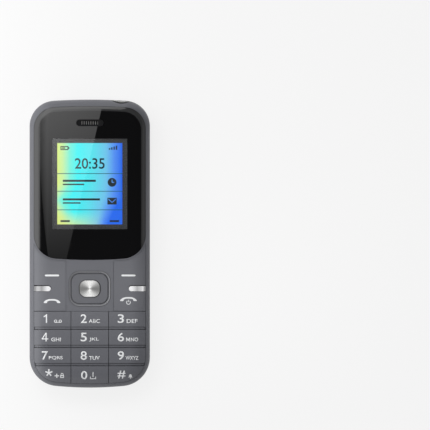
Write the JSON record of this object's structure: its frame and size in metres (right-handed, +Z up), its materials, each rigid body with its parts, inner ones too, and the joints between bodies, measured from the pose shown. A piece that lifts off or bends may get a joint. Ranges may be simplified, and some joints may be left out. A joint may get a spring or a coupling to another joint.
{
  "type": "feature phone",
  "caption": "Bar feature phone with a small colour display, number keys, navigation keys, a torch, a camera and a lift-off back cover over its battery.",
  "frame": {"origin": "middle of the flat back, on the surface that the phone lies on", "axes": "+Z up out of the screen, +Y towards the torch end, +X to the right seen from the front"},
  "size_m": [0.0518, 0.124, 0.0138],
  "materials": {
    "shell_grey": "fine spray texture, satin",
    "key_grey": "smooth satin",
    "gloss_black": "high gloss",
    "lens_clear": "clear gloss",
    "print_black": "printed film",
    "display_dark": "gloss",
    "backlight_white": "satin",
    "flex_amber": "film",
    "board_green": "solder mask",
    "dome_steel": "sprung steel under film",
    "silicone": "matt",
    "chrome": "plated",
    "ok_steel": "spun",
    "inner_black": "moulded",
    "steel": "pressed",
    "brass": "plated contacts",
    "battery_wrap": "wrapped cell",
    "camera_ring": "turned",
    "torch_clear": "clear gloss",
    "reflector_silver": "metallised",
    "led_yellow": "phosphor",
    "tungsten": "sintered"
  },
  "bodies": {
    "root": {"front_housing": "shell_grey", "display_lens": "lens_clear", "lens_mask": "print_black", "earpiece_grille": "gloss_black", "earpiece_receiver": "steel", "lcd_glass": "display_dark", "lcd_backlight": "backlight_white", "lcd_flex": "flex_amber", "main_pcb": "board_green", "dome_sheet": "dome_steel", "keymat": "silicone", "left_chrome_bar": "chrome", "right_chrome_bar": "chrome", "nav_bezel": "key_grey", "left_side_band": "gloss_black", "right_side_band": "gloss_black", "port_bezel": "gloss_black", "audio_jack": "inner_black", "usb_socket": "steel", "microphone": "steel", "rear_chassis": "inner_black", "battery_contacts": "brass", "sim_socket_1": "steel", "sim_socket_2": "steel", "memory_card_socket": "steel", "camera_module": "inner_black", "flash_led": "led_yellow", "loudspeaker": "inner_black", "vibration_motor": "steel", "antenna": "brass", "torch_bezel": "gloss_black", "torch_lens": "torch_clear", "torch_reflector": "reflector_silver", "torch_led": "led_yellow", "housing_screws": "steel"},
    "cover": {"back_cover": "shell_grey", "rear_accent_strips": "gloss_black", "camera_window": "gloss_black", "camera_ring": "camera_ring", "camera_glass": "torch_clear", "speaker_mesh": "inner_black"},
    "key_1": {"key_1": "key_grey"},
    "key_2": {"key_2": "key_grey"},
    "key_3": {"key_3": "key_grey"},
    "key_4": {"key_4": "key_grey"},
    "key_5": {"key_5": "key_grey"},
    "key_6": {"key_6": "key_grey"},
    "key_7": {"key_7": "key_grey"},
    "key_8": {"key_8": "key_grey"},
    "key_9": {"key_9": "key_grey"},
    "key_star": {"key_star": "key_grey"},
    "key_0": {"key_0": "key_grey"},
    "key_hash": {"key_hash": "key_grey"},
    "left_function_key": {"left_function_key": "key_grey"},
    "right_function_key": {"right_function_key": "key_grey"},
    "nav_pad": {"nav_pad": "inner_black"},
    "nav_ring": {"nav_ring": "key_grey"},
    "ok_key": {"ok_key": "ok_steel"},
    "motor_weight": {"motor_weight": "tungsten"},
    "battery": {"battery": "battery_wrap"}
  },
  "joints": [
    {"name": "key_1_press", "type": "slide", "parent": "root", "child": "key_1", "axis": [0, 0, -1], "range_m": [0, 0.00035], "stiffness_N_per_m": 800, "springref_m": -0.0005},
    {"name": "key_2_press", "type": "slide", "parent": "root", "child": "key_2", "axis": [0, 0, -1], "range_m": [0, 0.00035], "stiffness_N_per_m": 800, "springref_m": -0.0005},
    {"name": "key_3_press", "type": "slide", "parent": "root", "child": "key_3", "axis": [0, 0, -1], "range_m": [0, 0.00035], "stiffness_N_per_m": 800, "springref_m": -0.0005},
    {"name": "key_4_press", "type": "slide", "parent": "root", "child": "key_4", "axis": [0, 0, -1], "range_m": [0, 0.00035], "stiffness_N_per_m": 800, "springref_m": -0.0005},
    {"name": "key_5_press", "type": "slide", "parent": "root", "child": "key_5", "axis": [0, 0, -1], "range_m": [0, 0.00035], "stiffness_N_per_m": 800, "springref_m": -0.0005},
    {"name": "key_6_press", "type": "slide", "parent": "root", "child": "key_6", "axis": [0, 0, -1], "range_m": [0, 0.00035], "stiffness_N_per_m": 800, "springref_m": -0.0005},
    {"name": "key_7_press", "type": "slide", "parent": "root", "child": "key_7", "axis": [0, 0, -1], "range_m": [0, 0.00035], "stiffness_N_per_m": 800, "springref_m": -0.0005},
    {"name": "key_8_press", "type": "slide", "parent": "root", "child": "key_8", "axis": [0, 0, -1], "range_m": [0, 0.00035], "stiffness_N_per_m": 800, "springref_m": -0.0005},
    {"name": "key_9_press", "type": "slide", "parent": "root", "child": "key_9", "axis": [0, 0, -1], "range_m": [0, 0.00035], "stiffness_N_per_m": 800, "springref_m": -0.0005},
    {"name": "key_star_press", "type": "slide", "parent": "root", "child": "key_star", "axis": [0, 0, -1], "range_m": [0, 0.00035], "stiffness_N_per_m": 800, "springref_m": -0.0005},
    {"name": "key_0_press", "type": "slide", "parent": "root", "child": "key_0", "axis": [0, 0, -1], "range_m": [0, 0.00035], "stiffness_N_per_m": 800, "springref_m": -0.0005},
    {"name": "key_hash_press", "type": "slide", "parent": "root", "child": "key_hash", "axis": [0, 0, -1], "range_m": [0, 0.00035], "stiffness_N_per_m": 800, "springref_m": -0.0005},
    {"name": "ok_key_press", "type": "slide", "parent": "root", "child": "ok_key", "axis": [0, 0, -1], "range_m": [0, 0.00035], "stiffness_N_per_m": 800, "springref_m": -0.0005},
    {"name": "left_function_rock", "type": "hinge", "parent": "root", "child": "left_function_key", "pos_m": [-0.0204, -0.0194, 0.0126], "axis": [1, 0, 0], "range_deg": [-1, 1], "stiffness_Nm_per_rad": 0.5},
    {"name": "right_function_rock", "type": "hinge", "parent": "root", "child": "right_function_key", "pos_m": [0.0204, -0.0194, 0.0126], "axis": [1, 0, 0], "range_deg": [-1, 1], "stiffness_Nm_per_rad": 0.5},
    {"name": "nav_rock_up_down", "type": "hinge", "parent": "root", "child": "nav_pad", "pos_m": [0, -0.0194, 0.0126], "axis": [1, 0, 0], "range_deg": [-1.5, 1.5], "stiffness_Nm_per_rad": 0.5},
    {"name": "nav_rock_sideways", "type": "hinge", "parent": "nav_pad", "child": "nav_ring", "pos_m": [0, -0.0194, 0.0126], "axis": [0, 1, 0], "range_deg": [-1.5, 1.5], "stiffness_Nm_per_rad": 0.5},
    {"name": "cover_release", "type": "slide", "parent": "root", "child": "cover", "axis": [0, 0, -1], "range_m": [0, 0.024]},
    {"name": "battery_release", "type": "slide", "parent": "root", "child": "battery", "axis": [0, 0, -1], "range_m": [0, 0.012]},
    {"name": "motor_spin", "type": "hinge", "parent": "root", "child": "motor_weight", "pos_m": [-0.0075, -0.032, 0.00445], "axis": [1, 0, 0], "continuous": true}
  ],
  "couplings": [
    {"joint": "battery_release", "follows": "cover_release", "ratio": 0.5}
  ]
}
